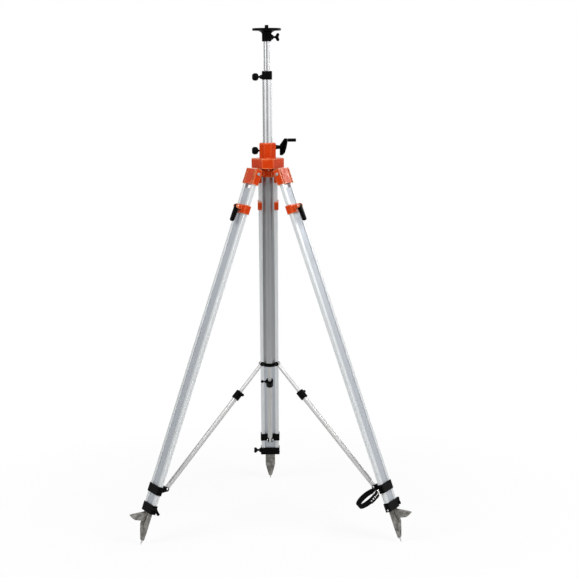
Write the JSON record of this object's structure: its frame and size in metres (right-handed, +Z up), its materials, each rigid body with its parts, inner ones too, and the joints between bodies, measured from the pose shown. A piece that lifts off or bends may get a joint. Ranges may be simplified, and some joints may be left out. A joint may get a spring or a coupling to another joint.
{
  "type": "elevating tripod",
  "caption": "Aluminium elevating tripod: sliding legs with lever clamps and spreader struts, a cranked rack column, an inner column and a head plate with a threaded stud.",
  "frame": {"origin": "on the column axis, at the height of the spike tips", "axes": "+Z up along the column, +Y towards the rear leg, +X towards the crank"},
  "size_m": [1.0806, 0.9552, 1.9744],
  "materials": {
    "orange_casting": "orange powder coat on a die casting",
    "bright_aluminium": "clear anodised extrusion",
    "panel_aluminium": "matt anodised extrusion",
    "tube_aluminium": "dull drawn tube",
    "black_casting": "black powder coat on a die casting",
    "black_plastic": "fine grained moulding",
    "shoe_casting": "raw cast, tumbled",
    "zinc_steel": "zinc plated",
    "black_steel": "black oxide",
    "strap_webbing": "black leather, satin"
  },
  "bodies": {
    "frame": {"tripod_head": "orange_casting", "crank_housing": "orange_casting", "centre_tube": "tube_aluminium", "strut_hub": "black_plastic", "leg_pivot_bolts": "zinc_steel", "strut_hub_pins": "zinc_steel"},
    "lower_column": {"lower_column_tube": "bright_aluminium", "column_rack": "zinc_steel", "column_collar": "black_plastic", "lower_column_glide": "black_plastic"},
    "crank": {"pinion_shaft": "zinc_steel", "crank_arm": "black_plastic"},
    "crank_grip": {"crank_handle": "black_plastic"},
    "lock_screw": {"lock_knob": "black_plastic"},
    "column_screw": {"column_knob": "black_plastic"},
    "upper_column": {"upper_column_tube": "bright_aluminium", "upper_column_glide": "black_plastic"},
    "head": {"head_plate": "black_casting", "head_stud": "black_steel"},
    "head_screw": {"head_wing_screw": "black_plastic"},
    "leg_rear": {"leg_shoulder_rear": "orange_casting", "leg_rails_rear": "bright_aluminium", "strut_bracket_rear": "black_plastic", "end_collar_rear": "black_plastic"},
    "leg_screw_rear": {"leg_wing_screw_rear": "black_plastic"},
    "lower_leg_rear": {"inner_leg_rear": "panel_aluminium", "leg_clamp_rear": "orange_casting", "shoe_rear": "shoe_casting"},
    "lever_rear": {"clamp_lever_rear": "black_plastic"},
    "spreader_rod_rear": {"strut_rod_rear": "bright_aluminium"},
    "spreader_tube_rear": {"strut_tube_rear": "bright_aluminium", "strut_collar_rear": "black_plastic"},
    "thumb_screw_rear": {"strut_thumb_screw_rear": "black_plastic"},
    "leg_left": {"leg_shoulder_left": "orange_casting", "leg_rails_left": "bright_aluminium", "strut_bracket_left": "black_plastic", "end_collar_left": "black_plastic"},
    "leg_screw_left": {"leg_wing_screw_left": "black_plastic"},
    "lower_leg_left": {"inner_leg_left": "panel_aluminium", "leg_clamp_left": "orange_casting", "shoe_left": "shoe_casting"},
    "lever_left": {"clamp_lever_left": "black_plastic"},
    "spreader_rod_left": {"strut_rod_left": "bright_aluminium"},
    "spreader_tube_left": {"strut_tube_left": "bright_aluminium", "strut_collar_left": "black_plastic"},
    "thumb_screw_left": {"strut_thumb_screw_left": "black_plastic"},
    "leg_right": {"leg_shoulder_right": "orange_casting", "leg_rails_right": "bright_aluminium", "strut_bracket_right": "black_plastic", "end_collar_right": "black_plastic", "leg_strap": "strap_webbing"},
    "leg_screw_right": {"leg_wing_screw_right": "black_plastic"},
    "lower_leg_right": {"inner_leg_right": "panel_aluminium", "leg_clamp_right": "orange_casting", "shoe_right": "shoe_casting"},
    "lever_right": {"clamp_lever_right": "black_plastic"},
    "spreader_rod_right": {"strut_rod_right": "bright_aluminium"},
    "spreader_tube_right": {"strut_tube_right": "bright_aluminium", "strut_collar_right": "black_plastic"},
    "thumb_screw_right": {"strut_thumb_screw_right": "black_plastic"}
  },
  "joints": [
    {"name": "lower_column_lift", "type": "slide", "parent": "frame", "child": "lower_column", "axis": [0, 0, 1], "range_m": [-0.235, 0.5]},
    {"name": "crank_turn", "type": "hinge", "parent": "frame", "child": "crank", "pos_m": [0, 0.02664, 1.505], "axis": [1, 0, 0], "range_deg": [-3751, 1763.5]},
    {"name": "crank_grip_spin", "type": "hinge", "parent": "crank", "child": "crank_grip", "pos_m": [0.0786, 0.02664, 1.532], "axis": [1, 0, 0], "continuous": true},
    {"name": "lock_screw_turn", "type": "hinge", "parent": "frame", "child": "lock_screw", "pos_m": [-0.04, 0, 1.4932], "axis": [-1, 0, 0], "range_deg": [0, 540]},
    {"name": "column_screw_turn", "type": "hinge", "parent": "lower_column", "child": "column_screw", "pos_m": [-0.03, 0, 1.777], "axis": [-1, 0, 0], "range_deg": [0, 540]},
    {"name": "upper_column_slide", "type": "slide", "parent": "lower_column", "child": "upper_column", "axis": [0, 0, 1], "range_m": [-0.112, 0.45]},
    {"name": "head_swivel", "type": "hinge", "parent": "upper_column", "child": "head", "pos_m": [0, 0, 1.9529], "axis": [0, 0, 1], "continuous": true},
    {"name": "head_screw_turn", "type": "hinge", "parent": "head", "child": "head_screw", "pos_m": [0.028, 0, 1.9279], "axis": [1, 0, 0], "range_deg": [0, 540]},
    {"name": "leg_rear_fold", "type": "hinge", "parent": "frame", "child": "leg_rear", "pos_m": [0, 0.065, 1.4057], "axis": [1, 0, 0], "range_deg": [-17.5, 0]},
    {"name": "lower_leg_rear_slide", "type": "slide", "parent": "leg_rear", "child": "lower_leg_rear", "axis": [0, 0.3502, -0.9367], "range_m": [0, 0.95]},
    {"name": "lever_rear_open", "type": "hinge", "parent": "lower_leg_rear", "child": "lever_rear", "pos_m": [0, 0.14008, 1.28484], "axis": [1, 0, 0], "range_deg": [0, 95]},
    {"name": "leg_screw_rear_turn", "type": "hinge", "parent": "leg_rear", "child": "leg_screw_rear", "pos_m": [-0.045, 0.53796, 0.14072], "axis": [-1, 0, 0], "range_deg": [0, 540]},
    {"name": "spreader_rear_swing", "type": "hinge", "parent": "frame", "child": "spreader_rod_rear", "pos_m": [0, 0.036, 0.649], "axis": [1, 0, 0], "range_deg": [-38.43, 0]},
    {"name": "spreader_rear_slide", "type": "slide", "parent": "spreader_rod_rear", "child": "spreader_tube_rear", "axis": [0, -0.6962, 0.7178], "range_m": [0, 0.1069]},
    {"name": "thumb_screw_rear_turn", "type": "hinge", "parent": "spreader_tube_rear", "child": "thumb_screw_rear", "pos_m": [-0.016, 0.14078, 0.54097], "axis": [-1, 0, 0], "range_deg": [0, 540]},
    {"name": "leg_left_fold", "type": "hinge", "parent": "frame", "child": "leg_left", "pos_m": [-0.05629, -0.0325, 1.4057], "axis": [-0.5, 0.866, 0], "range_deg": [-17.5, 0]},
    {"name": "lower_leg_left_slide", "type": "slide", "parent": "leg_left", "child": "lower_leg_left", "axis": [-0.3033, -0.1751, -0.9367], "range_m": [0, 0.95]},
    {"name": "lever_left_open", "type": "hinge", "parent": "lower_leg_left", "child": "lever_left", "pos_m": [-0.12131, -0.07004, 1.28484], "axis": [-0.5, 0.866, 0], "range_deg": [0, 95]},
    {"name": "leg_screw_left_turn", "type": "hinge", "parent": "leg_left", "child": "leg_screw_left", "pos_m": [-0.44338, -0.30795, 0.14072], "axis": [0.5, -0.866, 0], "range_deg": [0, 540]},
    {"name": "spreader_left_swing", "type": "hinge", "parent": "frame", "child": "spreader_rod_left", "pos_m": [-0.03118, -0.018, 0.649], "axis": [-0.5, 0.866, 0], "range_deg": [-38.43, 0]},
    {"name": "spreader_left_slide", "type": "slide", "parent": "spreader_rod_left", "child": "spreader_tube_left", "axis": [0.6029, 0.3481, 0.7178], "range_m": [0, 0.1069]},
    {"name": "thumb_screw_left_turn", "type": "hinge", "parent": "spreader_tube_left", "child": "thumb_screw_left", "pos_m": [-0.11392, -0.08425, 0.54097], "axis": [0.5, -0.866, 0], "range_deg": [0, 540]},
    {"name": "leg_right_fold", "type": "hinge", "parent": "frame", "child": "leg_right", "pos_m": [0.05629, -0.0325, 1.4057], "axis": [-0.5, -0.866, 0], "range_deg": [-17.5, 0]},
    {"name": "lower_leg_right_slide", "type": "slide", "parent": "leg_right", "child": "lower_leg_right", "axis": [0.3033, -0.1751, -0.9367], "range_m": [0, 0.95]},
    {"name": "lever_right_open", "type": "hinge", "parent": "lower_leg_right", "child": "lever_right", "pos_m": [0.12131, -0.07004, 1.28484], "axis": [-0.5, -0.866, 0], "range_deg": [0, 95]},
    {"name": "leg_screw_right_turn", "type": "hinge", "parent": "leg_right", "child": "leg_screw_right", "pos_m": [0.48838, -0.23001, 0.14072], "axis": [0.5, 0.866, 0], "range_deg": [0, 540]},
    {"name": "spreader_right_swing", "type": "hinge", "parent": "frame", "child": "spreader_rod_right", "pos_m": [0.03118, -0.018, 0.649], "axis": [-0.5, -0.866, 0], "range_deg": [-38.43, 0]},
    {"name": "spreader_right_slide", "type": "slide", "parent": "spreader_rod_right", "child": "spreader_tube_right", "axis": [-0.6029, 0.3481, 0.7178], "range_m": [0, 0.1069]},
    {"name": "thumb_screw_right_turn", "type": "hinge", "parent": "spreader_tube_right", "child": "thumb_screw_right", "pos_m": [0.12992, -0.05653, 0.54097], "axis": [0.5, 0.866, 0], "range_deg": [0, 540]}
  ],
  "couplings": [
    {"joint": "crank_turn", "follows": "lower_column_lift", "rad_per_m": -130.9},
    {"joint": "spreader_rear_swing", "follows": "leg_rear_fold", "ratio": 2.193},
    {"joint": "spreader_rear_slide", "follows": "leg_rear_fold", "m_per_rad": -0.34977},
    {"joint": "spreader_left_swing", "follows": "leg_left_fold", "ratio": 2.193},
    {"joint": "spreader_left_slide", "follows": "leg_left_fold", "m_per_rad": -0.34977},
    {"joint": "spreader_right_swing", "follows": "leg_right_fold", "ratio": 2.193},
    {"joint": "spreader_right_slide", "follows": "leg_right_fold", "m_per_rad": -0.34977}
  ]
}
